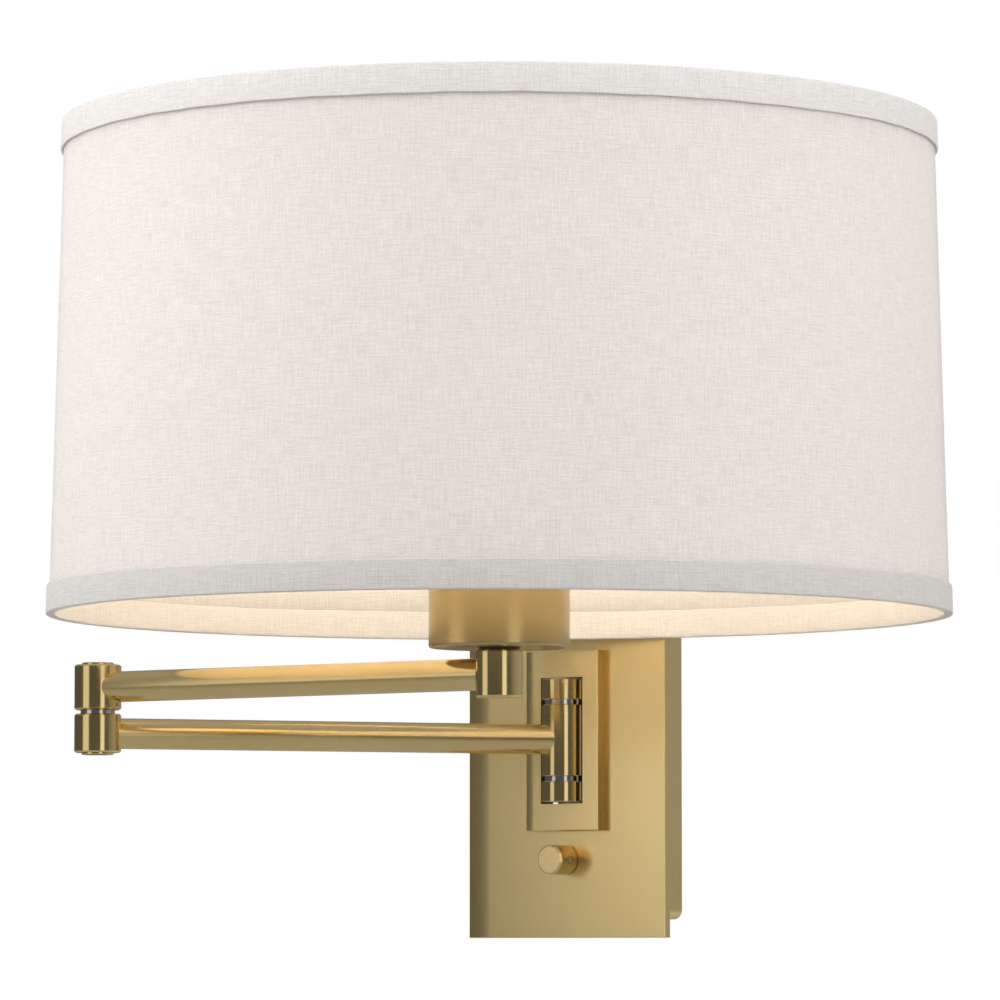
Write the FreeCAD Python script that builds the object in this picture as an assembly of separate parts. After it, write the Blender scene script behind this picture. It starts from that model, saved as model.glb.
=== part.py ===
import FreeCAD, Part
import math
import os

# Swing arm wall sconce with a drum shade. Millimetres, +Z up.
# The wall is the plane Y = 0 and the room is at negative Y.
# X = 0 is the plate's centre line and Z = 0 is the height of the lower arm.
V = FreeCAD.Vector
X_AXIS, Y_AXIS, Z_AXIS = V(1, 0, 0), V(0, 1, 0), V(0, 0, 1)

# ---- driving dimensions ----
# wall canopy and plates
PLATE_W, PLATE_H, PLATE_T = 102.0, 168.0, 3.8
CANOPY_W, CANOPY_H = 87.2, 152.4
CANOPY_D, CANOPY_WALL, CANOPY_R = 19.8, 1.2, 4.0
PIVOT_X, HINGE_Z = 1.5, -0.45
PIVOT_PLATE_W, PIVOT_PLATE_H, PIVOT_PLATE_T = 37.2, 76.5, 5.1
EDGE_BEVEL = 0.35
SLOT_W, SLOT_H = 21.6, 53.6
WINDOW_W, WINDOW_H = 38.0, 72.0

# wall pivot
PIVOT_RECESS = 0.3
PIVOT_R = 8.5
PIVOT_HALF, PIVOT_GAP, KNUCKLE_H = 15.2, 2.1, 8.8
PIVOT_PIN_R, PIVOT_BUSH_R = 3.5, 5.0
RUN = 0.06
AXIAL = 0.1

# arms
ARM_LENGTH = 205.2
ARM_ANGLE = 33.63
TUBE_R, TUBE_WALL = 6.35, 1.0
ARM_RISE = 18.95
LEAD_R = 3.0

# elbow
ELBOW_R = 9.65
LOW_HALF, UP_HALF = 8.0, 9.35
ELBOW_PIN_R, ELBOW_BUSH_R = 4.0, 5.0
CAP_R, CAP_PROUD = 6.6, 0.9
BEVEL = 0.7

# lamp end
LAMP_BARREL_R = 9.45
CUP_R, CUP_H, CUP_WALL = 27.8, 44.0, 1.4
SPACER_T = 0.8
NIPPLE_R = 4.9
SOCKET_R, SOCKET_H = 16.0, 46.0
SHELL_R = 13.6
BULB_R = 30.0
HARP_WIRE_R, HARP_TOP = 1.5, 213.0

# drum shade
SHADE_BOTTOM, SHADE_TOP = 41.6, 236.0
SHADE_R_BOTTOM, SHADE_R_TOP = 176.8, 171.6
CLOTH_T, LINER_T = 1.0, 1.0
TRIM_T, TRIM_H = 1.2, 11.4
RING_WIRE_R = 1.0

# dimmer
KNOB_Z, KNOB_R, KNOB_OUT, KNOB_GAP = -51.0, 6.3, 12.2, 0.4
SHAFT_R, BUSHING_R = 3.0, 4.5

# crossbar
BAR_W, BAR_T, BAR_HALF, LUG_D = 16.0, 2.5, 71.0, 12.0
BOX_SCREW_SPACING, SLOT_R, SLOT_LENGTH = 88.9, 2.3, 12.0

# ---- derived places ----
PLATE_BACK = -CANOPY_D
PLATE_FRONT = PLATE_BACK - PLATE_T
PIVOT_FRONT = PLATE_FRONT - PIVOT_PLATE_T
WALL_AXIS = V(PIVOT_X, PIVOT_FRONT + PIVOT_RECESS, 0)
HINGE = WALL_AXIS + V(0, 0, HINGE_Z)
ARM_DIR = V(-math.sin(math.radians(ARM_ANGLE)), -math.cos(math.radians(ARM_ANGLE)), 0)
ELBOW = WALL_AXIS + ARM_DIR * ARM_LENGTH
LAMP = ELBOW + X_AXIS * ARM_LENGTH
BARREL_TOP = ARM_RISE + UP_HALF
BARREL_FOOT = ARM_RISE - UP_HALF
CUP_FLOOR = BARREL_TOP + SPACER_T
SADDLE_Z = CUP_FLOOR + CUP_WALL
SADDLE_T = 1.5
SOCKET_Z = SADDLE_Z + SADDLE_T
SHELL_Z = SOCKET_Z + 12.0
HUB_T = 1.6


def cyl(radius, bottom, top, place=V(0, 0, 0), direction=Z_AXIS):
    """A solid cylinder between two heights along an axis through place."""
    return Part.makeCylinder(radius, top - bottom, place + direction * bottom, direction)


def tube(outer, inner, bottom, top, place=V(0, 0, 0)):
    """A ring or sleeve about the vertical through place."""
    return cyl(outer, bottom, top, place).cut(cyl(inner, bottom - 1, top + 1, place))


def block(x0, x1, y0, y1, z0, z1):
    """A box between opposite corners."""
    return Part.makeBox(x1 - x0, y1 - y0, z1 - z0, V(x0, y0, z0))


def turned(points, place=V(0, 0, 0)):
    """A solid turned about the vertical through place from (radius, height) points."""
    outline = [V(r, 0, z) for r, z in points]
    face = Part.Face(Part.makePolygon(outline + [outline[0]]))
    solid = face.revolve(V(0, 0, 0), Z_AXIS, 360)
    solid.translate(place)
    return solid


def barrel(radius, bottom, top, place, bevel=BEVEL):
    """A bevelled round block on a vertical axis."""
    return turned([(0, bottom), (radius - bevel, bottom), (radius, bottom + bevel),
                   (radius, top - bevel), (radius - bevel, top), (0, top)], place)


def screw(place, direction, shank_r, shank, head_r, head):
    """A pan-head screw whose head rests at place and whose shank runs along direction."""
    body = Part.makeCylinder(shank_r, shank, place, direction)
    top = Part.makeCylinder(head_r, head, place - direction * head, direction)
    slot = Part.makeBox(2 * head_r, head_r / 3, head / 2, V(-head_r, -head_r / 6, 0))
    slot.Placement = FreeCAD.Placement(place - direction * head, FreeCAD.Rotation(Z_AXIS, direction))
    return body.fuse(top).cut(slot)


def compound(solids):
    """Several loose solids kept in one node."""
    return Part.makeCompound(solids)


def mirrored_z(shape, middle=0.0):
    """The same shape on the other side of a middle height."""
    return shape.mirror(V(0, 0, middle), Z_AXIS)


def beside_hinge(shape):
    """A hinge piece made for the upper end, as it is at the lower end."""
    return mirrored_z(shape, HINGE_Z)


def rounded_block(width, height, y0, y1, radius):
    """A block on the centre line with its four long edges rounded."""
    solid = block(-width / 2, width / 2, y0, y1, -height / 2, height / 2)
    edges = [e for e in solid.Edges if abs(e.tangentAt(e.FirstParameter).y) > 0.9]
    return solid.makeFillet(radius, edges)


def pivot_slot(y0, y1):
    """The upright slot that the wall pivot stands in."""
    return block(PIVOT_X - SLOT_W / 2, PIVOT_X + SLOT_W / 2, y0, y1, HINGE_Z - SLOT_H / 2, HINGE_Z + SLOT_H / 2)


# ---- wall side ----
def corner_places():
    return [(sx * (CANOPY_W / 2 - 7), sz * (CANOPY_H / 2 - 9)) for sx in (-1, 1) for sz in (-1, 1)]


def pivot_plate_places():
    return [(PIVOT_X + sx * (PIVOT_PLATE_W / 2 - 4.4), HINGE_Z + sz * (PIVOT_PLATE_H / 2 - 5.5))
            for sx in (-1, 1) for sz in (-1, 1)]


def bracket_places():
    return [(PIVOT_X, HINGE_Z + side * 31.5) for side in (-1, 1)]


def knuckle_places():
    """Middles of the upper and lower knuckles."""
    return [V(PIVOT_X, 0, HINGE_Z + side * (PIVOT_HALF + PIVOT_GAP + KNUCKLE_H / 2)) for side in (1, -1)]


def make_wall_canopy():
    shell = rounded_block(CANOPY_W, CANOPY_H, PLATE_BACK, 0, CANOPY_R)
    inner_r = CANOPY_R - CANOPY_WALL
    hollow = rounded_block(CANOPY_W - 2 * CANOPY_WALL, CANOPY_H - 2 * CANOPY_WALL,
                           PLATE_BACK + CANOPY_WALL, 1, inner_r)
    shell = shell.cut(hollow)
    shell = shell.cut(block(PIVOT_X - WINDOW_W / 2, PIVOT_X + WINDOW_W / 2, PLATE_BACK - 1, PLATE_BACK + 2,
                            HINGE_Z - WINDOW_H / 2, HINGE_Z + WINDOW_H / 2))
    shell = shell.cut(cyl(BUSHING_R + 0.1, PLATE_BACK - 1, PLATE_BACK + 2, V(0, 0, KNOB_Z), Y_AXIS))
    for x, z in corner_places():
        shell = shell.cut(cyl(1.6, PLATE_BACK - 1, PLATE_BACK + 2, V(x, 0, z), Y_AXIS))
    for side in (-1, 1):
        hole = Part.makeCylinder(2.1, 6, V(0, -LUG_D / 2 - 1, side * (CANOPY_H / 2 - 3)), Z_AXIS * side)
        shell = shell.cut(hole)
    return shell


def make_face_plate():
    plate = block(-PLATE_W / 2, PLATE_W / 2, PLATE_FRONT, PLATE_BACK, -PLATE_H / 2, PLATE_H / 2)
    front = [e for e in plate.Edges if abs(e.CenterOfMass.y - PLATE_FRONT) < 0.01]
    plate = plate.makeChamfer(EDGE_BEVEL, front).cut(pivot_slot(PLATE_FRONT - 1, PLATE_BACK + 1))
    plate = plate.cut(cyl(BUSHING_R + 0.1, PLATE_FRONT - 1, PLATE_BACK + 1, V(0, 0, KNOB_Z), Y_AXIS))
    for x, z in pivot_plate_places() + bracket_places():
        plate = plate.cut(cyl(1.5, PLATE_FRONT - 1, PLATE_BACK + 1, V(x, 0, z), Y_AXIS))
    for x, z in corner_places():
        plate = plate.cut(cyl(1.5, PLATE_BACK - 2, PLATE_BACK + 1, V(x, 0, z), Y_AXIS))
    return plate


def make_pivot_plate():
    plate = block(PIVOT_X - PIVOT_PLATE_W / 2, PIVOT_X + PIVOT_PLATE_W / 2, PIVOT_FRONT, PLATE_FRONT,
                  HINGE_Z - PIVOT_PLATE_H / 2, HINGE_Z + PIVOT_PLATE_H / 2)
    front = [e for e in plate.Edges if abs(e.CenterOfMass.y - PIVOT_FRONT) < 0.01]
    plate = plate.makeChamfer(EDGE_BEVEL, front).cut(pivot_slot(PIVOT_FRONT - 1, PLATE_FRONT + 1))
    for x, z in pivot_plate_places() + bracket_places():
        plate = plate.cut(cyl(1.5, PLATE_FRONT - 2.5, PLATE_FRONT + 1, V(x, 0, z), Y_AXIS))
    return plate


def make_pivot_plate_screws():
    return compound([screw(V(x, PLATE_BACK, z), V(0, -1, 0), 1.5, PLATE_T + 2.3, 2.7, 1.8)
                     for x, z in pivot_plate_places()])


BRACKET_FRONT = PLATE_BACK + 1.0
BRACKET_BACK = BRACKET_FRONT + 2.5


def make_hinge_bracket():
    left, right = PIVOT_X - 9.0, PIVOT_X + 9.0
    strap = block(left, right, BRACKET_FRONT, BRACKET_BACK, HINGE_Z - 34.5, HINGE_Z + 34.5)
    foot = block(left, right, PLATE_BACK, BRACKET_FRONT, HINGE_Z + 28.5, HINGE_Z + 34.5)
    strap = strap.fuse(foot).fuse(beside_hinge(foot))
    for centre in [V(x, 0, z) for x, z in bracket_places()] + knuckle_places():
        strap = strap.cut(cyl(1.5, PLATE_BACK - 1, BRACKET_BACK + 1, centre, Y_AXIS))
    return strap.removeSplitter()


def make_bracket_screws():
    length = BRACKET_BACK - PLATE_FRONT + 2.3
    return compound([screw(V(x, BRACKET_BACK, z), V(0, -1, 0), 1.5, length, 2.7, 1.8)
                     for x, z in bracket_places()])


def make_upper_knuckle():
    foot = PIVOT_HALF + PIVOT_GAP
    head = foot + KNUCKLE_H
    solid = barrel(PIVOT_R, foot, head, HINGE, 0.3)
    tail = block(PIVOT_X - 4.5, PIVOT_X + 4.5, HINGE.y, BRACKET_FRONT, HINGE_Z + foot + 0.3, HINGE_Z + head - 0.3)
    solid = solid.fuse(tail).cut(cyl(PIVOT_PIN_R, foot - 1, head - 2.6, HINGE))
    return solid.cut(cyl(1.5, BRACKET_FRONT - 3.2, BRACKET_FRONT + 1, knuckle_places()[0], Y_AXIS))


def make_lower_knuckle():
    return beside_hinge(make_upper_knuckle())


def make_knuckle_screws():
    return compound([screw(place + Y_AXIS * BRACKET_BACK, V(0, -1, 0), 1.5, 5.4, 2.7, 1.8)
                     for place in knuckle_places()])


def make_pivot_pin():
    half = PIVOT_HALF + PIVOT_GAP + KNUCKLE_H - 2.8
    return tube(PIVOT_PIN_R, 2.2, -half, half, HINGE)


def make_pivot_washers():
    upper = tube(PIVOT_R * 0.86, PIVOT_PIN_R, PIVOT_HALF + AXIAL, PIVOT_HALF + PIVOT_GAP, HINGE)
    return compound([upper, beside_hinge(upper)])


def make_canopy_screws():
    return compound([screw(V(x, PLATE_BACK + CANOPY_WALL, z), V(0, -1, 0), 1.5, CANOPY_WALL + 1.8, 2.7, 1.8)
                     for x, z in corner_places()])


def make_crossbar():
    bar = block(-BAR_W / 2, BAR_W / 2, -BAR_T, 0, -BAR_HALF, BAR_HALF)
    lug = block(-BAR_W / 2, BAR_W / 2, -LUG_D, -BAR_T, BAR_HALF - BAR_T, BAR_HALF)
    bar = bar.fuse(lug).fuse(mirrored_z(lug))
    for side in (-1, 1):
        middle = side * BOX_SCREW_SPACING / 2
        reach = SLOT_LENGTH / 2 - SLOT_R
        bar = bar.cut(block(-SLOT_R, SLOT_R, -BAR_T - 1, 1, middle - reach, middle + reach))
        for end in (-1, 1):
            bar = bar.cut(cyl(SLOT_R, -BAR_T - 1, 1, V(0, 0, middle + end * reach), Y_AXIS))
        bar = bar.cut(Part.makeCylinder(1.9, 8, V(0, -LUG_D / 2 - 1, side * (BAR_HALF - 5)), Z_AXIS * side))
    bar = bar.cut(cyl(1.9, -BAR_T - 1, 1, V(0, 0, 18), Y_AXIS))
    return bar.removeSplitter()


def make_canopy_side_screws():
    return compound([screw(V(0, -LUG_D / 2 - 1, side * CANOPY_H / 2), Z_AXIS * -side, 1.9,
                           CANOPY_H / 2 - BAR_HALF + 3.0, 3.4, 2.0) for side in (-1, 1)])


def make_ground_screw():
    return screw(V(0, -BAR_T, 18), Y_AXIS, 1.9, BAR_T - 0.3, 4.0, 2.2)


CASE_FRONT = PLATE_BACK + 5.4


def make_dimmer_body():
    case = rounded_block(24.0, 24.0, CASE_FRONT, CASE_FRONT + 9.0, 2.0)
    case.translate(V(0, 0, KNOB_Z))
    centre = V(0, 0, KNOB_Z)
    case = case.fuse(cyl(BUSHING_R, PLATE_FRONT + 0.2, CASE_FRONT + 1, centre, Y_AXIS))
    return case.cut(cyl(SHAFT_R + RUN, PLATE_FRONT - 1, CASE_FRONT + 6, centre, Y_AXIS))


def make_dimmer_nut():
    corners = [V(7.2 * math.cos(math.radians(a)), 0, KNOB_Z + 7.2 * math.sin(math.radians(a)))
               for a in range(0, 361, 60)]
    nut = Part.Face(Part.makePolygon(corners)).extrude(V(0, 2.4, 0))
    nut.translate(V(0, PLATE_BACK + CANOPY_WALL, 0))
    return nut.cut(cyl(BUSHING_R, PLATE_BACK, PLATE_BACK + 6, V(0, 0, KNOB_Z), Y_AXIS))


# ---- dimmer knob ----
KNOB_FRONT = PLATE_FRONT - KNOB_OUT
KNOB_BACK = PLATE_FRONT - KNOB_GAP
SET_SCREW_Y = (KNOB_FRONT + KNOB_BACK) / 2 + 0.5


def make_dimmer_shaft():
    return cyl(SHAFT_R, KNOB_FRONT + 3.0, CASE_FRONT + 5.5, V(0, 0, KNOB_Z), Y_AXIS)


def make_dimmer_knob():
    knob = cyl(KNOB_R, KNOB_FRONT, KNOB_BACK, V(0, 0, KNOB_Z), Y_AXIS)
    rim = [e for e in knob.Edges if abs(e.CenterOfMass.y - KNOB_FRONT) < 0.01]
    knob = knob.makeChamfer(0.8, rim)
    knob = knob.cut(cyl(SHAFT_R, KNOB_FRONT + 3.0, KNOB_BACK + 1, V(0, 0, KNOB_Z), Y_AXIS))
    return knob.cut(Part.makeCylinder(1.5, 10, V(0, SET_SCREW_Y, KNOB_Z), X_AXIS))


def make_knob_set_screw():
    screw_body = Part.makeCylinder(1.5, 2.4, V(SHAFT_R, SET_SCREW_Y, KNOB_Z), X_AXIS)
    socket = Part.makeCylinder(0.7, 2.0, V(SHAFT_R + 1.2, SET_SCREW_Y, KNOB_Z), X_AXIS)
    return screw_body.cut(socket)


# ---- lower arm ----
def arm_tube(start, start_r, end, end_r):
    """A tube between two vertical barrels, with its ends coped to sit on them."""
    axis = (end - start).normalize()
    length = (end - start).Length
    solid = Part.makeCylinder(TUBE_R, length, start, axis)
    solid = solid.cut(Part.makeCylinder(TUBE_R - TUBE_WALL, length, start, axis))
    return solid.cut(cyl(start_r, -20, 20, start)).cut(cyl(end_r, -20, 20, end))


def arm_lead(start, start_r, end, end_r):
    """The two-core lead lying on the floor of an arm tube."""
    axis = (end - start).normalize()
    drop = Z_AXIS * (TUBE_R - TUBE_WALL - LEAD_R - 0.05)
    length = (end - start).Length - start_r - end_r - 2.0
    return Part.makeCylinder(LEAD_R, length, start + axis * (start_r + 1.0) - drop, axis)


def make_pivot_barrel():
    solid = barrel(PIVOT_R, -PIVOT_HALF, PIVOT_HALF, HINGE, 0.3)
    return solid.cut(cyl(PIVOT_BUSH_R, -PIVOT_HALF - 1, PIVOT_HALF + 1, HINGE))


def make_pivot_bushes():
    upper = tube(PIVOT_BUSH_R, PIVOT_PIN_R + RUN, 4.0, PIVOT_HALF, HINGE)
    return compound([upper, beside_hinge(upper)])


def make_lower_arm_tube():
    return arm_tube(WALL_AXIS, PIVOT_R, ELBOW, ELBOW_R)


def make_lower_arm_lead():
    return arm_lead(WALL_AXIS, PIVOT_R, ELBOW, ELBOW_R)


def make_elbow_lower_barrel():
    solid = barrel(ELBOW_R, -LOW_HALF, LOW_HALF, ELBOW)
    solid = solid.cut(cyl(ELBOW_PIN_R, -LOW_HALF - 1, LOW_HALF + 1, ELBOW))
    return solid.cut(cyl(CAP_R, -LOW_HALF - 1, -LOW_HALF + 2.0, ELBOW))


def make_elbow_bottom_cap():
    return turned([(0, -LOW_HALF - CAP_PROUD), (CAP_R - 0.4, -LOW_HALF - CAP_PROUD),
                   (CAP_R, -LOW_HALF - CAP_PROUD + 0.4), (CAP_R, -LOW_HALF + 2.0), (0, -LOW_HALF + 2.0)], ELBOW)


def make_elbow_pin():
    return tube(ELBOW_PIN_R, 2.6, -LOW_HALF + 2.2, BARREL_TOP - 2.7, ELBOW)


def make_elbow_washer():
    return tube(7.1, ELBOW_PIN_R, LOW_HALF, BARREL_FOOT - AXIAL, ELBOW)


PIN_NUT_Z = BARREL_TOP - 5.5


def make_elbow_pin_nut():
    return tube(5.9, ELBOW_PIN_R, PIN_NUT_Z + 0.2, PIN_NUT_Z + 2.2, ELBOW)


# ---- upper arm ----
def make_elbow_upper_barrel():
    solid = barrel(ELBOW_R, BARREL_FOOT, BARREL_TOP, ELBOW)
    solid = solid.cut(cyl(ELBOW_BUSH_R, BARREL_FOOT - 1, BARREL_TOP + 1, ELBOW))
    return solid.cut(cyl(CAP_R, PIN_NUT_Z, BARREL_TOP + 1, ELBOW))


def make_elbow_bush():
    return tube(ELBOW_BUSH_R, ELBOW_PIN_R + RUN, BARREL_FOOT, PIN_NUT_Z, ELBOW)


def make_elbow_top_cap():
    top = BARREL_TOP + CAP_PROUD
    return turned([(0, BARREL_TOP - 2.0), (CAP_R, BARREL_TOP - 2.0), (CAP_R, top - 0.4),
                   (CAP_R - 0.4, top), (0, top)], ELBOW)


def make_upper_arm_tube():
    solid = arm_tube(ELBOW, ELBOW_R, LAMP, LAMP_BARREL_R)
    solid.translate(Z_AXIS * ARM_RISE)
    return solid


def make_upper_arm_lead():
    solid = arm_lead(ELBOW, ELBOW_R, LAMP, LAMP_BARREL_R)
    solid.translate(Z_AXIS * ARM_RISE)
    return solid


def make_lamp_barrel():
    solid = barrel(LAMP_BARREL_R, BARREL_FOOT, BARREL_TOP, LAMP)
    return solid.cut(cyl(NIPPLE_R, BARREL_FOOT + 3.0, BARREL_TOP + 1, LAMP))


def make_cup_spacer():
    return tube(8.0, NIPPLE_R, BARREL_TOP, CUP_FLOOR, LAMP)


def make_lamp_nipple():
    return tube(NIPPLE_R, 3.5, BARREL_FOOT + 3.5, SOCKET_Z + 4.0, LAMP)


def make_socket_cup():
    cup = cyl(CUP_R, CUP_FLOOR, CUP_FLOOR + CUP_H, LAMP)
    foot = [e for e in cup.Edges if abs(e.CenterOfMass.z - CUP_FLOOR) < 0.01]
    cup = cup.makeFillet(1.1, foot)
    cup = cup.cut(cyl(CUP_R - CUP_WALL, SADDLE_Z, CUP_FLOOR + CUP_H + 1, LAMP))
    return cup.cut(cyl(NIPPLE_R, CUP_FLOOR - 1, SADDLE_Z + 1, LAMP))


SADDLE_X, SADDLE_TOP = 23.0, 52.0


def make_harp_saddle():
    strap = block(-SADDLE_X - 1.2, SADDLE_X + 1.2, -6.0, 6.0, SADDLE_Z, SOCKET_Z)
    for side in (-1, 1):
        ear = block(SADDLE_X - 1.2, SADDLE_X + 1.2, -4.0, 4.0, SADDLE_Z, SADDLE_TOP)
        strap = strap.fuse(ear if side > 0 else ear.mirror(V(0, 0, 0), X_AXIS))
    strap = strap.cut(cyl(NIPPLE_R, SADDLE_Z - 1, SOCKET_Z + 1)).removeSplitter()
    strap.translate(LAMP)
    return strap


def make_harp():
    half = [V(SADDLE_X, 0, SADDLE_TOP + 2), V(SADDLE_X, 0, 74), V(40, 0, 110), V(40, 0, 150),
            V(25, 0, 190), V(0, 0, HARP_TOP)]
    other = [V(-p.x, 0, p.z) for p in reversed(half[:-1])]
    path = Part.BSplineCurve()
    path.interpolate(half + other)
    circle = Part.Circle(half[0], path.tangent(path.FirstParameter)[0], HARP_WIRE_R)
    wire = Part.Wire([path.toShape()]).makePipeShell([Part.Wire([circle.toShape()])], True, True)
    harp = wire
    for side in (-1, 1):
        harp = harp.fuse(cyl(2.4, SADDLE_TOP, SADDLE_TOP + 13, V(side * SADDLE_X, 0, 0)))
    harp = harp.fuse(cyl(7.0, HARP_TOP, HARP_TOP + 2.4)).fuse(cyl(3.0, HARP_TOP, HARP_TOP + 9.0))
    harp.translate(LAMP)
    return harp


HUB_Z = HARP_TOP + 2.4


def make_lamp_socket():
    top = SOCKET_Z + SOCKET_H
    return turned([(NIPPLE_R, SOCKET_Z), (SOCKET_R, SOCKET_Z), (SOCKET_R, top), (SHELL_R, top),
                   (SHELL_R, SHELL_Z), (0, SHELL_Z), (0, SOCKET_Z + 4.2), (NIPPLE_R, SOCKET_Z + 4.2)], LAMP)


def make_screw_shell():
    return tube(SHELL_R, SHELL_R - 0.4, SHELL_Z + 2.0, SOCKET_Z + SOCKET_H - 3.0, LAMP)


def make_centre_contact():
    return cyl(3.5, SHELL_Z, SHELL_Z + 1.5, LAMP)


def make_bulb_base():
    foot = SHELL_Z + 1.5
    return turned([(0, foot), (4, foot), (5, foot + 2.5), (12.8, foot + 4.5), (12.8, foot + 27), (0, foot + 27)], LAMP)


BULB_FOOT = SHELL_Z + 28.5
BULB_CENTRE = BULB_FOOT + 47.0


def make_light_bulb():
    neck_r = 13.0
    start = V(neck_r, 0, BULB_FOOT)
    shoulder = V(BULB_R, 0, BULB_CENTRE)
    blend = Part.BezierCurve()
    blend.setPoles([start, V(neck_r, 0, BULB_FOOT + 22), V(BULB_R, 0, BULB_CENTRE - 22), shoulder])
    diagonal = BULB_R * math.sqrt(0.5)
    dome = Part.Arc(shoulder, V(diagonal, 0, BULB_CENTRE + diagonal), V(0, 0, BULB_CENTRE + BULB_R))
    axis = Part.makeLine(V(0, 0, BULB_CENTRE + BULB_R), V(0, 0, BULB_FOOT))
    floor = Part.makeLine(V(0, 0, BULB_FOOT), start)
    face = Part.Face(Part.Wire([blend.toShape(), dome.toShape(), axis, floor]))
    glass = face.revolve(V(0, 0, 0), Z_AXIS, 360)
    glass.translate(LAMP)
    return glass


# ---- shade ----
def shade_r(z):
    """Outer radius of the cloth at a height."""
    return SHADE_R_BOTTOM + (SHADE_R_TOP - SHADE_R_BOTTOM) * (z - SHADE_BOTTOM) / (SHADE_TOP - SHADE_BOTTOM)


def cone_band(z0, z1, depth0, depth1):
    """A band that follows the shade's slope between two depths under the cloth's outside."""
    return [(shade_r(z0) - depth0, z0), (shade_r(z1) - depth0, z1),
            (shade_r(z1) - depth1, z1), (shade_r(z0) - depth1, z0)]


CLOTH_END = TRIM_T + 2 * RING_WIRE_R + 0.1
SKIN_T = CLOTH_T + LINER_T


def make_shade_fabric():
    return turned(cone_band(SHADE_BOTTOM + CLOTH_END, SHADE_TOP - CLOTH_END, 0, CLOTH_T), LAMP)


def make_shade_liner():
    return turned(cone_band(SHADE_BOTTOM + CLOTH_END, SHADE_TOP - CLOTH_END, CLOTH_T, SKIN_T), LAMP)


def hem(edge, inward):
    """A folded hem over the cloth's edge; inward is +1 up from the bottom, -1 down from the top."""
    lip = edge + inward * TRIM_H
    fold = edge + inward * TRIM_T
    return turned([(shade_r(edge) + TRIM_T, edge), (shade_r(lip) + TRIM_T, lip), (shade_r(lip), lip),
                   (shade_r(fold), fold), (shade_r(fold) - SKIN_T, fold), (shade_r(lip) - SKIN_T, lip),
                   (shade_r(lip) - SKIN_T - TRIM_T, lip), (shade_r(edge) - SKIN_T - TRIM_T, edge)], LAMP)


def wire_ring(z):
    """A wire hoop inside a hem."""
    ring = Part.makeTorus(shade_r(z) - SKIN_T / 2, RING_WIRE_R)
    ring.translate(LAMP + Z_AXIS * z)
    return ring


def make_top_trim():
    return hem(SHADE_TOP, -1).cut(make_spider())


def make_bottom_trim():
    return hem(SHADE_BOTTOM, 1)


def top_ring_z():
    return SHADE_TOP - TRIM_T - RING_WIRE_R


def make_top_wire_ring():
    return wire_ring(top_ring_z()).cut(make_spider())


def make_bottom_wire_ring():
    return wire_ring(SHADE_BOTTOM + TRIM_T + RING_WIRE_R)


def make_spider():
    outer = shade_r(top_ring_z()) - SKIN_T / 2 - 0.4
    bend = outer - 14.0
    hub = tube(9.0, 3.2, HUB_Z, HUB_Z + HUB_T)
    start = V(8.0, 0, HUB_Z + HUB_T / 2)
    knee = V(bend, 0, top_ring_z())
    end = V(outer, 0, top_ring_z())
    spoke = Part.makeCylinder(0.95, (knee - start).Length, start, knee - start)
    spoke = spoke.fuse(Part.makeSphere(0.95, knee)).fuse(Part.makeCylinder(0.95, (end - knee).Length, knee, X_AXIS))
    for turn in (90, 210, 330):
        arm = spoke.copy()
        arm.rotate(V(0, 0, 0), Z_AXIS, turn)
        hub = hub.fuse(arm)
    hub = hub.cut(cyl(3.2, HUB_Z - 5, HUB_Z + 5))
    hub.translate(LAMP)
    return hub


def make_finial():
    foot = HUB_Z + HUB_T
    top = foot + 16.0
    body = turned([(0, foot), (6.0, foot), (6.0, foot + 2.0), (3.2, foot + 4.0), (5.6, foot + 9.0),
                   (4.6, top - 2.0), (2.4, top), (0, top)], LAMP)
    return body.cut(cyl(3.0, foot - 1, HARP_TOP + 9.0, LAMP))


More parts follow.
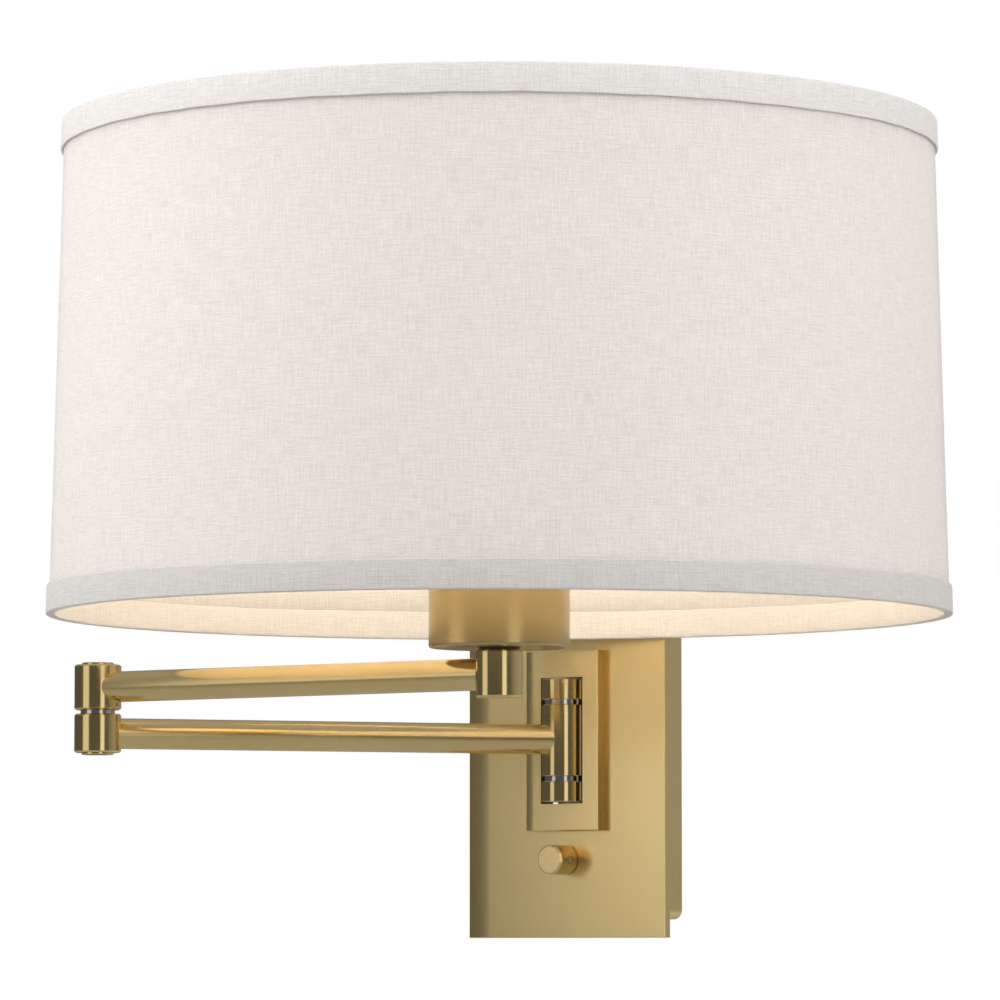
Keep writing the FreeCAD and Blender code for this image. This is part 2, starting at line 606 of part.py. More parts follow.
NODES = {
    "wall_canopy": make_wall_canopy,
    "face_plate": make_face_plate,
    "pivot_plate": make_pivot_plate,
    "pivot_plate_screws": make_pivot_plate_screws,
    "hinge_bracket": make_hinge_bracket,
    "bracket_screws": make_bracket_screws,
    "upper_knuckle": make_upper_knuckle,
    "lower_knuckle": make_lower_knuckle,
    "knuckle_screws": make_knuckle_screws,
    "pivot_pin": make_pivot_pin,
    "pivot_washers": make_pivot_washers,
    "canopy_screws": make_canopy_screws,
    "crossbar": make_crossbar,
    "canopy_side_screws": make_canopy_side_screws,
    "ground_screw": make_ground_screw,
    "dimmer_body": make_dimmer_body,
    "dimmer_nut": make_dimmer_nut,
    "dimmer_shaft": make_dimmer_shaft,
    "dimmer_knob": make_dimmer_knob,
    "knob_set_screw": make_knob_set_screw,
    "pivot_barrel": make_pivot_barrel,
    "pivot_bushes": make_pivot_bushes,
    "lower_arm_tube": make_lower_arm_tube,
    "lower_arm_lead": make_lower_arm_lead,
    "elbow_lower_barrel": make_elbow_lower_barrel,
    "elbow_bottom_cap": make_elbow_bottom_cap,
    "elbow_pin": make_elbow_pin,
    "elbow_washer": make_elbow_washer,
    "elbow_pin_nut": make_elbow_pin_nut,
    "elbow_upper_barrel": make_elbow_upper_barrel,
    "elbow_bush": make_elbow_bush,
    "elbow_top_cap": make_elbow_top_cap,
    "upper_arm_tube": make_upper_arm_tube,
    "upper_arm_lead": make_upper_arm_lead,
    "lamp_barrel": make_lamp_barrel,
    "cup_spacer": make_cup_spacer,
    "lamp_nipple": make_lamp_nipple,
    "socket_cup": make_socket_cup,
    "harp_saddle": make_harp_saddle,
    "harp": make_harp,
    "lamp_socket": make_lamp_socket,
    "screw_shell": make_screw_shell,
    "centre_contact": make_centre_contact,
    "bulb_base": make_bulb_base,
    "light_bulb": make_light_bulb,
    "shade_fabric": make_shade_fabric,
    "shade_liner": make_shade_liner,
    "top_trim": make_top_trim,
    "bottom_trim": make_bottom_trim,
    "top_wire_ring": make_top_wire_ring,
    "bottom_wire_ring": make_bottom_wire_ring,
    "spider": make_spider,
    "finial": make_finial,
}

os.makedirs("parts", exist_ok=True)
for node, make in NODES.items():
    make().exportStep("parts/" + node + ".step")
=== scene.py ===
import math

import bpy
import numpy as np
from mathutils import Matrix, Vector


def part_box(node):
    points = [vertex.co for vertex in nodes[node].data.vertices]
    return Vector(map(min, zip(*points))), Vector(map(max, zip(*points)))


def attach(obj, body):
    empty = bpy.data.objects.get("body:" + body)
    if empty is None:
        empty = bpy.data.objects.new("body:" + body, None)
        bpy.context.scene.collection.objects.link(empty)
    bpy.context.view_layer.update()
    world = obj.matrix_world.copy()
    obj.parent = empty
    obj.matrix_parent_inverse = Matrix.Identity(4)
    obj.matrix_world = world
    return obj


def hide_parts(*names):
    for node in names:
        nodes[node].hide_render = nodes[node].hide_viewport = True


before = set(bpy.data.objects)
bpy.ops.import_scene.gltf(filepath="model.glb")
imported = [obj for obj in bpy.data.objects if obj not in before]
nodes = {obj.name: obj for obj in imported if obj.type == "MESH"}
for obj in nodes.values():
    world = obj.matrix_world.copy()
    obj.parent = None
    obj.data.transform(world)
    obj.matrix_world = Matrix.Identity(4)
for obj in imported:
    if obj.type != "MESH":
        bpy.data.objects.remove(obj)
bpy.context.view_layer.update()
MM = 0.001

# ---- colours, linear ----
BRASS = (0.80, 0.612, 0.285)
STEEL, ZINC, PLATED = (0.62, 0.61, 0.60), (0.66, 0.66, 0.63), (0.78, 0.76, 0.70)
BRONZE, GREEN, BLACK = (0.52, 0.34, 0.17), (0.08, 0.30, 0.14), (0.025, 0.025, 0.026)
GOLD_LEAD, PORCELAIN = (0.62, 0.46, 0.20), (0.84, 0.82, 0.77)
PALE_FLOOR = (0.86, 0.86, 0.85)
LINEN_LIGHT = (0.93, 0.895, 0.865)
LINEN_DARK = (0.76, 0.725, 0.69)
BULB_GLOW = (1.0, 0.79, 0.50)

# ---- brushed plates and tubes: noise scale on each axis, roughness, and depth in metres ----
PLATE_BRUSH, PLATE_ROUGH, PLATE_DEPTH, PLATE_PATINA = (2600, 2600, 110), 0.30, 2e-6, 0.07
TUBE_BRUSH, TUBE_ROUGH = (40, 2400, 2400), 0.20
ROLL_SHARE = 0.11               # share of a plate's width that is polished rounder, at its left edge
ROLL_SLOPE, BOW_SLOPE = 0.22, 0.01

# ---- shade, in metres ----
CLOTH_T = 0.9 * MM
CLOTH_INSET = 2.6 * MM          # from the rim of a hem to the edge of the cloth
CLOTH_SWAY = 0.06 * MM
LINER_T = 0.6 * MM
LINER_DEPTH = 1.05 * MM         # from the cloth's face to the liner's
HEM_H, HEM_T = 11.4 * MM, 1.2 * MM
HEM_GAP = 0.05 * MM             # between the cloth's face and the hem
HEM_ROUND = 0.7 * MM
HEM_SWAY, HEM_RIPPLE = 0.07 * MM, 0.08 * MM
SKIN_T = 2.0 * MM               # from the cloth's face to the turned-in strip
TURN_IN_T = 0.6 * MM
SEAM_ANGLE = math.radians(100)
SEAM_WIDTH, SEAM_RISE, SEAM_T = 12 * MM, 0.55 * MM, 0.45 * MM
SEAM_LAP = 1 * MM               # how far the seam runs under each hem
SEAM_GAP, SEAM_FRAY = 0.12 * MM, 0.12 * MM
WARP, WEFT = 0.62 * MM, 0.66 * MM
ROUND_STEPS = 288


def middle(node):
    """Centre of a CAD node's box."""
    low, high = (Vector(c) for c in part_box(node))
    return (low + high) / 2


# ---------------------------------------------------------------- node helpers
def new_material(name):
    """A new material and its Principled shader."""
    material = bpy.data.materials.new(name)
    material.use_nodes = True
    return material, material.node_tree.nodes["Principled BSDF"]


def add_node(material, kind, **settings):
    """A node with its properties and input defaults set by name."""
    node = material.node_tree.nodes.new(kind)
    for key, value in settings.items():
        if hasattr(node, key):
            setattr(node, key, value)
        else:
            node.inputs[key.replace("_", " ")].default_value = value
    return node


def join(material, source, target):
    """Links an output to an input. The helpers here work on a world as well as on a material."""
    material.node_tree.links.new(source, target)


def stretched(material, scale, uv=False, turn=0.0):
    """Object or UV coordinates in metres, multiplied by a scale for each axis and turned about Z."""
    coords = add_node(material, "ShaderNodeTexCoord")
    turned = add_node(material, "ShaderNodeMapping")
    turned.inputs["Rotation"].default_value = (0, 0, -turn)
    sized = add_node(material, "ShaderNodeMapping")
    sized.inputs["Scale"].default_value = scale
    join(material, coords.outputs["UV" if uv else "Object"], turned.inputs["Vector"])
    join(material, turned.outputs["Vector"], sized.inputs["Vector"])
    return sized.outputs["Vector"]


def noise(material, vector, detail=2.0, rough=0.5):
    """Noise whose size is set by the scale of its vector."""
    texture = add_node(material, "ShaderNodeTexNoise", Scale=1.0, Detail=detail, Roughness=rough)
    join(material, vector, texture.inputs["Vector"])
    return texture.outputs["Fac"]


def ranged(material, value, low, high, to_low, to_high):
    """A value moved from one range to another."""
    node = add_node(material, "ShaderNodeMapRange")
    for socket, number in zip(("From Min", "From Max", "To Min", "To Max"), (low, high, to_low, to_high)):
        node.inputs[socket].default_value = number
    join(material, value, node.inputs["Value"])
    return node.outputs["Result"]


def maths(material, operation, first, second):
    """One operation on two values, each a number or an output."""
    node = add_node(material, "ShaderNodeMath", operation=operation)
    for socket, value in zip(node.inputs, (first, second)):
        if isinstance(value, (int, float)):
            socket.default_value = value
        else:
            join(material, value, socket)
    return node.outputs[0]


def weighted(material, *parts):
    """The sum of values, each with its weight."""
    total = None
    for value, weight in parts:
        share = maths(material, "MULTIPLY", value, weight)
        total = share if total is None else maths(material, "ADD", total, share)
    return total


def dimmed(colour, share):
    """A colour at a share of its brightness."""
    return tuple(share * c for c in colour)


def colour_between(material, factor, first, second):
    """A colour that runs from the first to the second as the factor goes from 0 to 1."""
    node = add_node(material, "ShaderNodeMix", data_type="RGBA")
    join(material, factor, node.inputs["Factor"])
    node.inputs[6].default_value = (*first, 1)
    node.inputs[7].default_value = (*second, 1)
    return node.outputs[2]


def bump(material, height, distance, strength=1.0):
    """Normal of a surface raised by height times distance, in metres."""
    node = add_node(material, "ShaderNodeBump", Distance=distance, Strength=strength)
    join(material, height, node.inputs["Height"])
    return node.outputs["Normal"]


# ---------------------------------------------------------------- materials
def crowned(material, left, right):
    """Normal of a plate polished a little rounder towards its left edge, and slightly bowed across."""
    coords = add_node(material, "ShaderNodeTexCoord")
    split = add_node(material, "ShaderNodeSeparateXYZ")
    join(material, coords.outputs["Object"], split.inputs["Vector"])
    roll = ROLL_SHARE * (right - left)
    near_edge = ranged(material, split.outputs["X"], left, left + roll, 1.0, 0.0)
    drop = maths(material, "MULTIPLY", maths(material, "POWER", near_edge, 2), ROLL_SLOPE * roll / 2)
    across = maths(material, "SUBTRACT", split.outputs["X"], (left + right) / 2)
    bow = maths(material, "MULTIPLY", maths(material, "POWER", maths(material, "ABSOLUTE", across, 0), 2),
                BOW_SLOPE / (right - left))
    return bump(material, maths(material, "SUBTRACT", 0, maths(material, "ADD", drop, bow)), 1.0)


def brushed_metal(name, colour, scale, rough, turn=0.0, depth=4e-6, patina=0.10, spread=0.08, crown=None):
    """Metal with fine brush lines along one axis, a little uneven tone and soft handling marks."""
    material, shader = new_material(name)
    lines = noise(material, stretched(material, scale, turn=turn), 3.0, 0.65)
    cloud = noise(material, stretched(material, (22, 22, 22)), 3.0, 0.55)
    shade = ranged(material, weighted(material, (lines, 0.45), (cloud, 0.55)), 0.35, 0.65, 0.0, 1.0)
    tint = colour_between(material, shade, dimmed(colour, 1 - patina), colour)
    join(material, tint, shader.inputs["Base Color"])
    mixed = weighted(material, (lines, 0.6), (cloud, 0.4))
    roughness = ranged(material, mixed, 0.3, 0.7, rough - spread / 2, rough + spread / 2)
    join(material, roughness, shader.inputs["Roughness"])
    normal = add_node(material, "ShaderNodeBump", Distance=depth)
    join(material, lines, normal.inputs["Height"])
    if crown:
        join(material, crowned(material, *crown), normal.inputs["Normal"])
    join(material, normal.outputs["Normal"], shader.inputs["Normal"])
    shader.inputs["Metallic"].default_value = 1.0
    return material


def plate_brass(name, node):
    """Upright-brushed brass for a plate, with its left edge polished rounder."""
    low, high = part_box(node)
    return brushed_metal(name, BRASS, PLATE_BRUSH, PLATE_ROUGH, depth=PLATE_DEPTH, patina=PLATE_PATINA,
                         spread=0.05, crown=(low[0], high[0]))


def plain_surface(name, colour, rough, grain=900.0, depth=1e-5, coat=0.0):
    """A moulded or glazed surface with fine grain and slightly uneven tone."""
    material, shader = new_material(name)
    fine = noise(material, stretched(material, (grain,) * 3), 2.0)
    cloud = noise(material, stretched(material, (60,) * 3), 3.0)
    tint = colour_between(material, ranged(material, cloud, 0.3, 0.7, 0, 1), dimmed(colour, 0.88), colour)
    join(material, tint, shader.inputs["Base Color"])
    join(material, ranged(material, fine, 0.3, 0.7, rough * 0.85, rough * 1.15), shader.inputs["Roughness"])
    join(material, bump(material, fine, depth), shader.inputs["Normal"])
    shader.inputs["Coat Weight"].default_value = coat
    return material


def weave(material):
    """Height and tone of a plain linen weave, from UVs in metres: threads, uneven threads and slubs."""
    wander = noise(material, stretched(material, (900, 900, 1), uv=True), 2.0)
    shift = maths(material, "MULTIPLY", maths(material, "SUBTRACT", wander, 0.5), 2.6)
    coords = add_node(material, "ShaderNodeTexCoord")
    split = add_node(material, "ShaderNodeSeparateXYZ")
    join(material, coords.outputs["UV"], split.inputs["Vector"])
    threads = []
    for socket, pitch in (("X", WARP), ("Y", WEFT)):
        phase = maths(material, "MULTIPLY", split.outputs[socket], 2 * math.pi / pitch)
        wave = maths(material, "SINE", maths(material, "ADD", phase, shift), 0)
        threads.append(maths(material, "MULTIPLY", wave, 0.5))
    crossing = maths(material, "MAXIMUM", threads[0], threads[1])
    across = noise(material, stretched(material, (110, 1500, 1), uv=True), 2.0, 0.6)
    upright = noise(material, stretched(material, (1500, 110, 1), uv=True), 2.0, 0.6)
    slubs = maths(material, "ADD", across, upright)
    fibre = noise(material, stretched(material, (1500, 1500, 1), uv=True), 2.0)
    height = weighted(material, (crossing, 0.55), (slubs, 1.3), (fibre, 0.4))
    tone = weighted(material, (slubs, 0.9), (fibre, 0.9), (crossing, 0.18))
    return height, ranged(material, tone, 1.12, 1.66, 0.0, 1.0)


def linen(name, light, dark, through, clear, depth=1.4e-4):
    """Linen that lets some light through: through is its translucent share and clear its open share."""
    material, shader = new_material(name)
    height, tone = weave(material)
    colour = colour_between(material, tone, dark, light)
    normal = bump(material, height, depth, 0.7)
    join(material, colour, shader.inputs["Base Color"])
    join(material, normal, shader.inputs["Normal"])
    shader.inputs["Roughness"].default_value = 0.92
    shader.inputs["Sheen Weight"].default_value = 0.15
    shader.inputs["Specular IOR Level"].default_value = 0.2
    glow = add_node(material, "ShaderNodeBsdfTranslucent")
    join(material, colour, glow.inputs["Color"])
    cloth = add_node(material, "ShaderNodeMixShader", Fac=through)
    join(material, shader.outputs[0], cloth.inputs[1])
    join(material, glow.outputs[0], cloth.inputs[2])
    top = cloth
    if clear:
        gap = add_node(material, "ShaderNodeBsdfTransparent")
        top = add_node(material, "ShaderNodeMixShader", Fac=clear)
        join(material, cloth.outputs[0], top.inputs[1])
        join(material, gap.outputs[0], top.inputs[2])
    output = material.node_tree.nodes["Material Output"]
    join(material, top.outputs[0], output.inputs["Surface"])
    return material


def glowing_glass(name, colour, strength):
    """Soft white bulb glass, lit from inside."""
    material, shader = new_material(name)
    cloud = noise(material, stretched(material, (45,) * 3), 2.0)
    pale = tuple(0.6 + 0.4 * c for c in colour)
    tint = colour_between(material, ranged(material, cloud, 0.3, 0.7, 0, 1), pale, (1, 1, 1))
    join(material, tint, shader.inputs["Base Color"])
    shader.inputs["Roughness"].default_value = 0.25
    shader.inputs["Emission Color"].default_value = (*colour, 1)
    shader.inputs["Emission Strength"].default_value = strength
    return material


def paint(material, *names):
    """Gives a material to CAD nodes."""
    for name in names:
        mesh = nodes[name].data
        if mesh.materials:
            for place in range(len(nodes[name].material_slots)):
                nodes[name].material_slots[place].link = "OBJECT"
                nodes[name].material_slots[place].material = material
        else:
            mesh.materials.append(material)


# ---------------------------------------------------------------- camera and light
CAMERA_AZIMUTH, CAMERA_TILT = math.radians(36.085), math.radians(4.344)
CAMERA_AIM = Vector((0.0371, -0.1220, 0.0947))
CAMERA_DISTANCE = 2.45
CAMERA_LENS, SENSOR = 215.2, 36.0
ROOM_HEIGHTS = ((-1, 0.45), (-0.45, 0.42), (-0.2, 0.28), (-0.07, 0.11), (0.18, 0.107), (0.5, 0.3), (1, 0.5))
PATCH_TOWARDS, PATCH_START = (0.5, 0.866), 0.45
FLOOR_HEIGHT, FLOOR_HALF = -2.2, 12.0
BULB_WATTS, BULB_LIGHT_SHARE = 5.8, 1.2


def make_camera():
    """The camera that took the photo, as fitted to the lamp's outlines."""
    forward = Vector((-math.sin(CAMERA_AZIMUTH) * math.cos(CAMERA_TILT),
                      math.cos(CAMERA_AZIMUTH) * math.cos(CAMERA_TILT), math.sin(CAMERA_TILT)))
    data = bpy.data.cameras.new("camera")
    data.lens, data.sensor_width = CAMERA_LENS, SENSOR
    data.clip_end = 100
    camera = bpy.data.objects.new("camera", data)
    camera.location = CAMERA_AIM - forward * CAMERA_DISTANCE
    camera.rotation_mode = "QUATERNION"
    camera.rotation_quaternion = forward.to_track_quat("-Z", "Y")
    bpy.context.collection.objects.link(camera)
    bpy.context.scene.camera = camera


def softbox(name, place, aim, width, tall, radiance, in_metal=True, only=()):
    """A rectangular area light at a place, facing aim. It lights everything, or only the nodes named."""
    data = bpy.data.lights.new(name, "AREA")
    data.shape, data.size, data.size_y = "RECTANGLE", width, tall
    data.energy = radiance * math.pi * width * tall
    light = bpy.data.objects.new(name, data)
    light.location = place
    light.rotation_mode = "QUATERNION"
    light.rotation_quaternion = (aim - light.location).to_track_quat("-Z", "Y")
    light.visible_camera = False
    light.visible_glossy = in_metal
    bpy.context.collection.objects.link(light)
    if only:
        lit = bpy.data.collections.new(name + "_lights")
        for node in only:
            lit.objects.link(nodes[node])
        light.light_linking.receiver_collection = lit


def bulb_light(place, radius, watts, colour):
    """The light given off by the bulb, from a ball just outside its glass. It moves with the upper arm."""
    data = bpy.data.lights.new("bulb_light", "POINT")
    data.shadow_soft_size, data.energy, data.color = radius, watts, colour
    light = bpy.data.objects.new("bulb_light", data)
    light.location = place
    light.visible_camera = False
    light.visible_glossy = False
    bpy.context.collection.objects.link(light)
    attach(light, "upper_arm")


def choose(world, switch, off, on):
    """One value while the switch is 0 and another while it is 1, each a number or an output."""
    node = add_node(world, "ShaderNodeMix")
    join(world, switch, node.inputs[0])
    for socket, value in zip((node.inputs[2], node.inputs[3]), (off, on)):
        if isinstance(value, (int, float)):
            socket.default_value = value
        else:
            join(world, value, socket)
    return node.outputs[0]


def make_world(seen, diffuse, heights, behind):
    """White behind the object, even light on cloth, and a dim room in the metal.

    heights lists (height of the direction, strength) for what metal reflects, and behind adds a paler
    patch behind the object on the right, as a pale wall gives. Seen through cloth the room is dark.
    """
    world = bpy.data.worlds.new("studio")
    bpy.context.scene.world = world
    world.use_nodes = True
    coords = add_node(world, "ShaderNodeTexCoord")
    split = add_node(world, "ShaderNodeSeparateXYZ")
    join(world, coords.outputs["Generated"], split.inputs["Vector"])
    x, y, z = split.outputs
    ramp = add_node(world, "ShaderNodeValToRGB")
    join(world, maths(world, "MULTIPLY", maths(world, "ADD", z, 1.0), 0.5), ramp.inputs["Fac"])
    stops = ramp.color_ramp.elements
    while len(stops) < len(heights):
        stops.new(0.5)
    for stop, (height, strength) in zip(stops, heights):
        stop.position = (height + 1) / 2
        stop.color = (strength, strength, strength, 1)
    facing = weighted(world, *zip((x, y), PATCH_TOWARDS))
    metal = maths(world, "ADD", ramp.outputs["Color"], ranged(world, facing, PATCH_START, 1.0, 0.0, behind))
    path = add_node(world, "ShaderNodeLightPath").outputs
    light = choose(world, path["Is Glossy Ray"], diffuse, metal)
    through_cloth = maths(world, "GREATER_THAN", path["Transparent Depth"], 0.5)
    camera = choose(world, through_cloth, seen, 0.0)
    back = world.node_tree.nodes["Background"]
    join(world, choose(world, path["Is Camera Ray"], light, camera), back.inputs["Strength"])
    back.inputs["Color"].default_value = (1, 1, 1, 1)


def make_floor():
    """A plain pale floor well below the lamp."""
    signs = ((-1, -1), (1, -1), (1, 1), (-1, 1))
    corners = [(x * FLOOR_HALF, y * FLOOR_HALF, FLOOR_HEIGHT) for x, y in signs]
    mesh = bpy.data.meshes.new("floor")
    mesh.from_pydata(corners, [], [(0, 1, 2, 3)])
    floor = bpy.data.objects.new("floor", mesh)
    mesh.materials.append(plain_surface("pale_floor", PALE_FLOOR, 0.7, 40.0, 1e-4))
    bpy.context.collection.objects.link(floor)
    floor.visible_glossy = False


# ---------------------------------------------------------------- meshes
def smooth_piece(name, verts, faces, uvs, material):
    """A smooth-shaded piece with UVs in metres."""
    mesh = bpy.data.meshes.new(name)
    mesh.from_pydata(verts, [], faces)
    layer = mesh.uv_layers.new(name="metres")
    layer.data.foreach_set("uv", np.array(uvs, dtype=np.float32).ravel())
    mesh.materials.append(material)
    mesh.polygons.foreach_set("use_smooth", [True] * len(faces))
    piece = bpy.data.objects.new(name, mesh)
    bpy.context.collection.objects.link(piece)
    return piece


def lathe(name, profile, centre, material, wobble):
    """A piece turned about the vertical through centre from a closed outline of (radius, height) points.

    wobble(angle, index) gives a small radial and vertical shift for each point of the outline.
    """
    count = len(profile)
    run = [0.0]
    for (r0, z0), (r1, z1) in zip(profile, profile[1:] + profile[:1]):
        run.append(run[-1] + math.hypot(r1 - r0, z1 - z0))
    mean_r = sum(r for r, z in profile) / count
    verts = []
    for step in range(ROUND_STEPS):
        angle = 2 * math.pi * step / ROUND_STEPS
        for index, (r, z) in enumerate(profile):
            dr, dz = wobble(angle, index)
            out = r + dr
            verts.append((centre.x + out * math.cos(angle), centre.y + out * math.sin(angle), z + dz))
    faces, uvs = [], []
    for step in range(ROUND_STEPS):
        after = (step + 1) % ROUND_STEPS
        for index in range(count):
            nxt = (index + 1) % count
            here, there = step * count, after * count
            faces.append((here + index, there + index, there + nxt, here + nxt))
            u0, u1 = (2 * math.pi * mean_r * s / ROUND_STEPS for s in (step, step + 1))
            v0, v1 = run[index], run[index + 1]
            uvs += [(u0, v0), (u1, v0), (u1, v1), (u0, v1)]
    return smooth_piece(name, verts, faces, uvs, material)


def rounded(points, radius, steps=4):
    """A closed outline with its corners rounded."""
    out = []
    count = len(points)
    for i in range(count):
        here, before, after = (Vector(points[(i + k) % count]) for k in (0, -1, 1))
        a, b = before - here, after - here
        cut = min(radius, a.length * 0.45, b.length * 0.45)
        start, end = here + a.normalized() * cut, here + b.normalized() * cut
        for k in range(steps + 1):
            t = k / steps
            p = start * (1 - t) ** 2 + here * 2 * t * (1 - t) + end * t ** 2
            out.append((p.x, p.y))
    return out


# ---------------------------------------------------------------- shade
BOTTOM_LOW, BOTTOM_HIGH = (Vector(c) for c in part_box("bottom_trim"))
TOP_LOW, TOP_HIGH = (Vector(c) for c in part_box("top_trim"))
LAMP_AXIS = (BOTTOM_LOW + BOTTOM_HIGH) / 2
LAMP_AXIS.z = 0
SHADE_BOTTOM, SHADE_TOP = BOTTOM_LOW.z, TOP_HIGH.z
R_BOTTOM = (BOTTOM_HIGH.x - BOTTOM_LOW.x) / 2 - HEM_T
HEM_SHARE = HEM_H / (SHADE_TOP - SHADE_BOTTOM)
R_TOP = ((TOP_HIGH.x - TOP_LOW.x) / 2 - HEM_T - HEM_SHARE * R_BOTTOM) / (1 - HEM_SHARE)


def shade_r(z):
    """Outer radius of the cloth at a height."""
    return R_BOTTOM + (R_TOP - R_BOTTOM) * (z - SHADE_BOTTOM) / (SHADE_TOP - SHADE_BOTTOM)


def sway(angle, seed):
    """A slow, small unevenness round the shade."""
    waves = ((1.0, 3, 1), (0.6, 7, 2), (0.4, 13, 3))
    return sum(share * math.sin(count * angle + shift * seed) for share, count, shift in waves)


def make_shade_cloth(material):
    """The stretched linen, a closed band a little under a millimetre thick."""
    z0, z1 = SHADE_BOTTOM + CLOTH_INSET, SHADE_TOP - CLOTH_INSET
    rows = 40
    outer = [(shade_r(z), z) for z in (z0 + (z1 - z0) * i / rows for i in range(rows + 1))]
    inner = [(r - CLOTH_T, z) for r, z in reversed(outer)]
    cloth = lathe("shade_cloth", outer + inner, LAMP_AXIS, material,
                  wobble=lambda angle, index: (CLOTH_SWAY * sway(angle, 0.7), 0))
    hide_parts("shade_fabric")
    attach(cloth, "upper_arm")


def make_liner(material):
    """The thin styrene that the linen is bonded to."""
    z0, z1 = SHADE_BOTTOM + CLOTH_INSET, SHADE_TOP - CLOTH_INSET
    rows = 8
    outer = [(shade_r(z) - LINER_DEPTH, z) for z in (z0 + (z1 - z0) * i / rows for i in range(rows + 1))]
    inner = [(r - LINER_T, z) for r, z in reversed(outer)]
    liner = lathe("styrene_liner", outer + inner, LAMP_AXIS, material,
                  wobble=lambda angle, index: (CLOTH_SWAY * sway(angle, 0.7), 0))
    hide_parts("shade_liner")
    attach(liner, "upper_arm")


def make_hem(name, node, edge, inward, outside, inside, seed):
    """A strip of linen folded over the rim, with soft edges and a slightly uneven turn-in.

    The strip shows the outside material, and the bonded face that is turned in shows the inside one.
    """
    lip = edge + inward * HEM_H
    fold = edge + inward * HEM_T
    outline = [(shade_r(edge) + HEM_T, edge), (shade_r(lip) + HEM_T, lip), (shade_r(lip) + HEM_GAP, lip),
               (shade_r(fold) + HEM_GAP, fold), (shade_r(fold) - SKIN_T, fold),
               (shade_r(lip) - SKIN_T, lip), (shade_r(lip) - SKIN_T - TURN_IN_T, lip),
               (shade_r(edge) - SKIN_T - TURN_IN_T, edge)]
    profile = rounded(outline, HEM_ROUND)
    near_lip = [abs(z - lip) < 2 * MM for r, z in profile]

    def wobble(angle, index):
        drift = HEM_SWAY * sway(angle, seed)
        lift = drift * 1.6 + HEM_RIPPLE * math.sin(41 * angle + seed)
        return drift * 0.6, lift if near_lip[index] else 0.0

    hem = lathe(name, profile, LAMP_AXIS, outside, wobble=wobble)
    hem.data.materials.append(inside)
    turned_in = [int(r < shade_r(z) - SKIN_T / 2) for r, z in profile]
    hem.data.polygons.foreach_set("material_index", turned_in * ROUND_STEPS)
    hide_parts(node)
    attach(hem, "upper_arm")
    return hem


def make_seam(material):
    """The glued upright overlap at the back, a folded strip that stands a little proud of the cloth."""
    z0, z1 = SHADE_BOTTOM + HEM_H - SEAM_LAP, SHADE_TOP - HEM_H + SEAM_LAP
    rows, columns = 40, 10
    verts, faces, uvs = [], [], []
    for row in range(rows + 1):
        z = z0 + (z1 - z0) * row / rows
        for column in range(columns + 1):
            t = column / columns
            rise = SEAM_RISE * min(1.0, 6 * t, 3 * (1 - t) + 0.25)
            edge = SEAM_FRAY * math.sin(31 * row / rows) if column in (0, columns) else 0.0
            angle = SEAM_ANGLE + (SEAM_WIDTH * (t - 0.5) + edge) / shade_r(z)
            r = shade_r(z) + SEAM_GAP + rise
            verts.append((LAMP_AXIS.x + r * math.cos(angle), LAMP_AXIS.y + r * math.sin(angle), z))
    for row in range(rows):
        for column in range(columns):
            a = row * (columns + 1) + column
            faces.append((a, a + 1, a + columns + 2, a + columns + 1))
            u0, u1 = (SEAM_WIDTH * c / columns for c in (column, column + 1))
            v0, v1 = ((z1 - z0) * r / rows for r in (row, row + 1))
            uvs += [(u0, v0), (u1, v0), (u1, v1), (u0, v1)]
    seam = smooth_piece("shade_seam", verts, faces, uvs, material)
    solid = seam.modifiers.new("cloth", "SOLIDIFY")
    solid.thickness, solid.offset = SEAM_T, -1
    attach(seam, "upper_arm")


# ---------------------------------------------------------------- the scene
def light_studio():
    """A dim room with two soft boxes that show in the metal, and fills for the cloth, plates and bulb."""
    make_world(seen=1.0, diffuse=0.70, behind=0.28, heights=ROOM_HEIGHTS)
    lamp, strip_aim = Vector((0.05, -0.15, 0.1)), Vector((0.0, -0.15, 0.30))
    softbox("left_strip", Vector((-0.30, -0.716, 0.30)), strip_aim, 0.32, 0.70, 0.74)
    softbox("right_softbox", Vector((2.28, -1.40, 0.45)), lamp, 0.92, 2.6, 0.95)
    top_aim = Vector((0.15, -0.30, 0.2))
    softbox("top_softbox", Vector((0.25, -0.84, 0.75)), top_aim, 0.6, 0.6, 2.2, in_metal=False)
    softbox("right_fill", Vector((1.3, 0.0, 0.7)), lamp, 1.0, 1.0, 2.4, in_metal=False)
    softbox("left_fill", Vector((-1.2, -1.2, 0.8)), lamp, 1.0, 1.0, 4.5, in_metal=False)
    softbox("plate_softbox", Vector((-0.33, -0.72, 0.05)), Vector((0.0, -0.03, 0.0)), 0.30, 0.60, 0.585,
            only=("face_plate", "pivot_plate", "dimmer_knob"))
    bulb_low, bulb_high = (Vector(c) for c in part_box("light_bulb"))
    radius = (bulb_high.x - bulb_low.x) / 2
    middle_of_ball = Vector((LAMP_AXIS.x, LAMP_AXIS.y, bulb_high.z - radius))
    bulb_light(middle_of_ball, radius * BULB_LIGHT_SHARE, BULB_WATTS, BULB_GLOW)


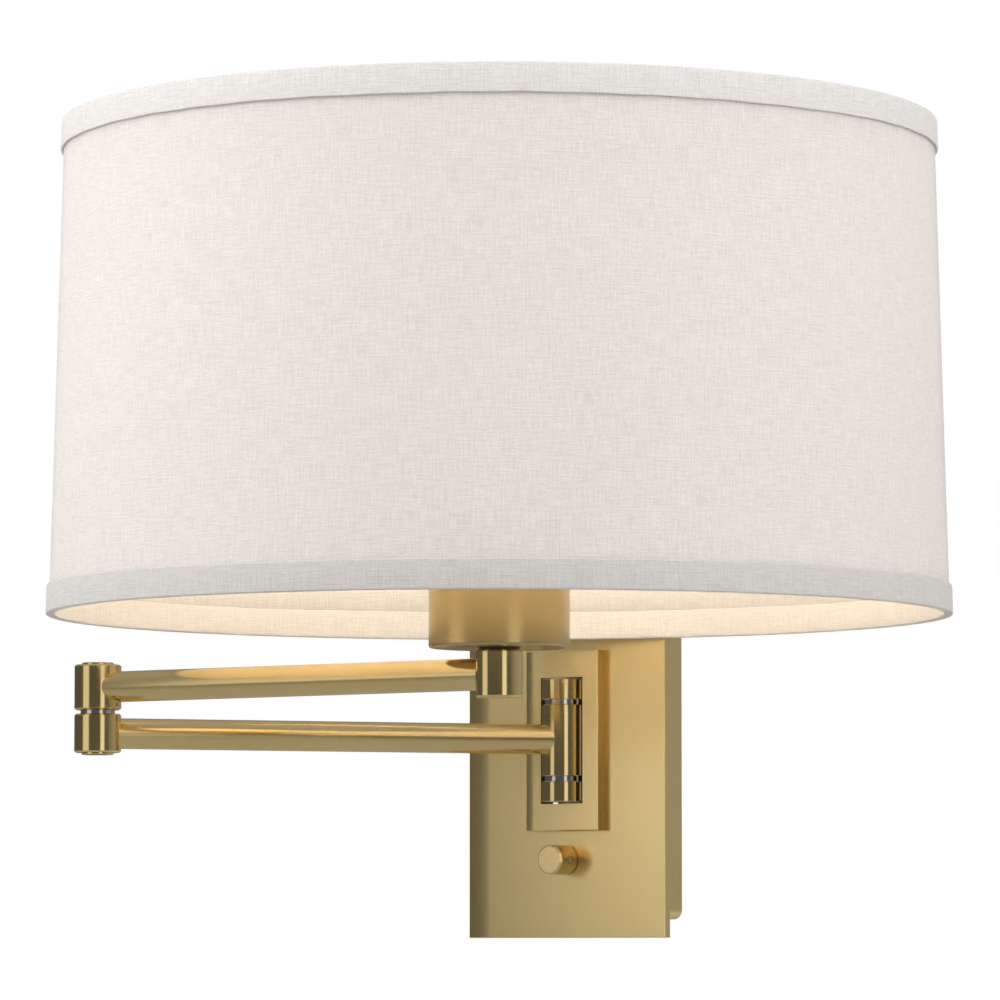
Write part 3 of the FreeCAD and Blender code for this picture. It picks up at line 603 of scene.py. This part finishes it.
def paint_brass():
    """The plates are brushed upright, the turned pieces round, and the tubes along their length."""
    paint(brushed_metal("brass_turned", BRASS, (60, 60, 5200), 0.13), "upper_knuckle", "lower_knuckle",
          "pivot_barrel", "elbow_lower_barrel", "elbow_bottom_cap", "elbow_upper_barrel", "elbow_top_cap",
          "lamp_barrel", "finial")
    # The cup's brass is painted darker, at 0.70 of the rest: painted shade that holds down the bulb's light
    # falling on it.
    paint(brushed_metal("brass_cup_painted_shade", dimmed(BRASS, 0.70), (60, 60, 4200), 0.24), "socket_cup")
    paint(brushed_metal("brass_knob", BRASS, (60, 60, 4200), 0.24), "dimmer_knob")
    reach = middle("elbow_pin") - middle("pivot_pin")
    low_turn = math.atan2(reach.y, reach.x)
    paint(brushed_metal("brass_tube_upper", BRASS, TUBE_BRUSH, TUBE_ROUGH), "upper_arm_tube")
    paint(brushed_metal("brass_tube_lower", BRASS, TUBE_BRUSH, TUBE_ROUGH, turn=low_turn), "lower_arm_tube")
    paint(plate_brass("brass_face_plate", "face_plate"), "face_plate")
    paint(plate_brass("brass_pivot_plate", "pivot_plate"), "pivot_plate")
    canopy_brass = brushed_metal("brass_canopy", BRASS, PLATE_BRUSH, PLATE_ROUGH, depth=PLATE_DEPTH,
                                 patina=PLATE_PATINA)
    paint(canopy_brass, "wall_canopy")


def paint_fittings():
    """Steel, zinc, bronze, plastic, porcelain and glass."""
    paint(brushed_metal("turned_steel", STEEL, (80, 80, 5000), 0.12, patina=0.18), "pivot_pin",
          "pivot_washers", "elbow_pin", "elbow_washer", "elbow_pin_nut", "lamp_nipple", "harp",
          "harp_saddle", "spider", "top_wire_ring", "bottom_wire_ring", "dimmer_shaft")
    paint(brushed_metal("zinc_plate", ZINC, (700, 700, 700), 0.33, patina=0.15), "hinge_bracket", "crossbar",
          "pivot_plate_screws", "bracket_screws", "knuckle_screws", "canopy_screws", "canopy_side_screws",
          "knob_set_screw", "dimmer_nut")
    bronze = brushed_metal("sintered_bronze", BRONZE, (900, 900, 900), 0.45, patina=0.2)
    paint(bronze, "pivot_bushes", "elbow_bush")
    paint(brushed_metal("green_screw", GREEN, (500, 500, 500), 0.35), "ground_screw")
    paint(plain_surface("black_plastic", BLACK, 0.5), "dimmer_body", "cup_spacer")
    lead = plain_surface("gold_lead", GOLD_LEAD, 0.3, 300.0, 2e-5, coat=0.4)
    paint(lead, "lower_arm_lead", "upper_arm_lead")
    paint(plain_surface("glazed_porcelain", PORCELAIN, 0.16, 120.0, 2e-5, coat=0.6), "lamp_socket")
    shell_metal = brushed_metal("plated_shell", PLATED, (60, 60, 1600), 0.26)
    paint(shell_metal, "screw_shell", "centre_contact", "bulb_base")
    paint(glowing_glass("soft_white_glass", BULB_GLOW, 1.0), "light_bulb")


def make_shade():
    """Linen cloth over a liner, a folded hem at each rim, and the seam at the back."""
    cloth = linen("linen_cloth", LINEN_LIGHT, LINEN_DARK, through=0.12, clear=0.30)
    # The hems are the same linen as the cloth, painted darker: the top at 0.83 as painted shade for the glow
    # that does not pass the doubled cloth, and the bottom at 0.70 with more painted shade, as it gets less
    # light from above.
    top, bottom = (linen(name, dimmed(LINEN_LIGHT, share), dimmed(LINEN_DARK, share), through=0.05, clear=0)
                   for name, share in (("linen_top_hem_painted_shade", 0.83), ("linen_bottom_hem_painted_shade", 0.70)))
    lining = linen("bonded_liner", LINEN_LIGHT, LINEN_DARK, through=0.12, clear=0.34, depth=1.1e-4)
    top_hem = make_hem("top_hem", "top_trim", SHADE_TOP, -1, top, lining, 0.4)
    bottom_hem = make_hem("bottom_hem", "bottom_trim", SHADE_BOTTOM, 1, bottom, lining, 1.9)
    make_shade_cloth(cloth)
    make_liner(lining)
    make_seam(cloth)


bpy.context.scene.view_settings.view_transform = "Standard"
make_camera()
light_studio()
make_floor()
paint_brass()
paint_fittings()
make_shade()
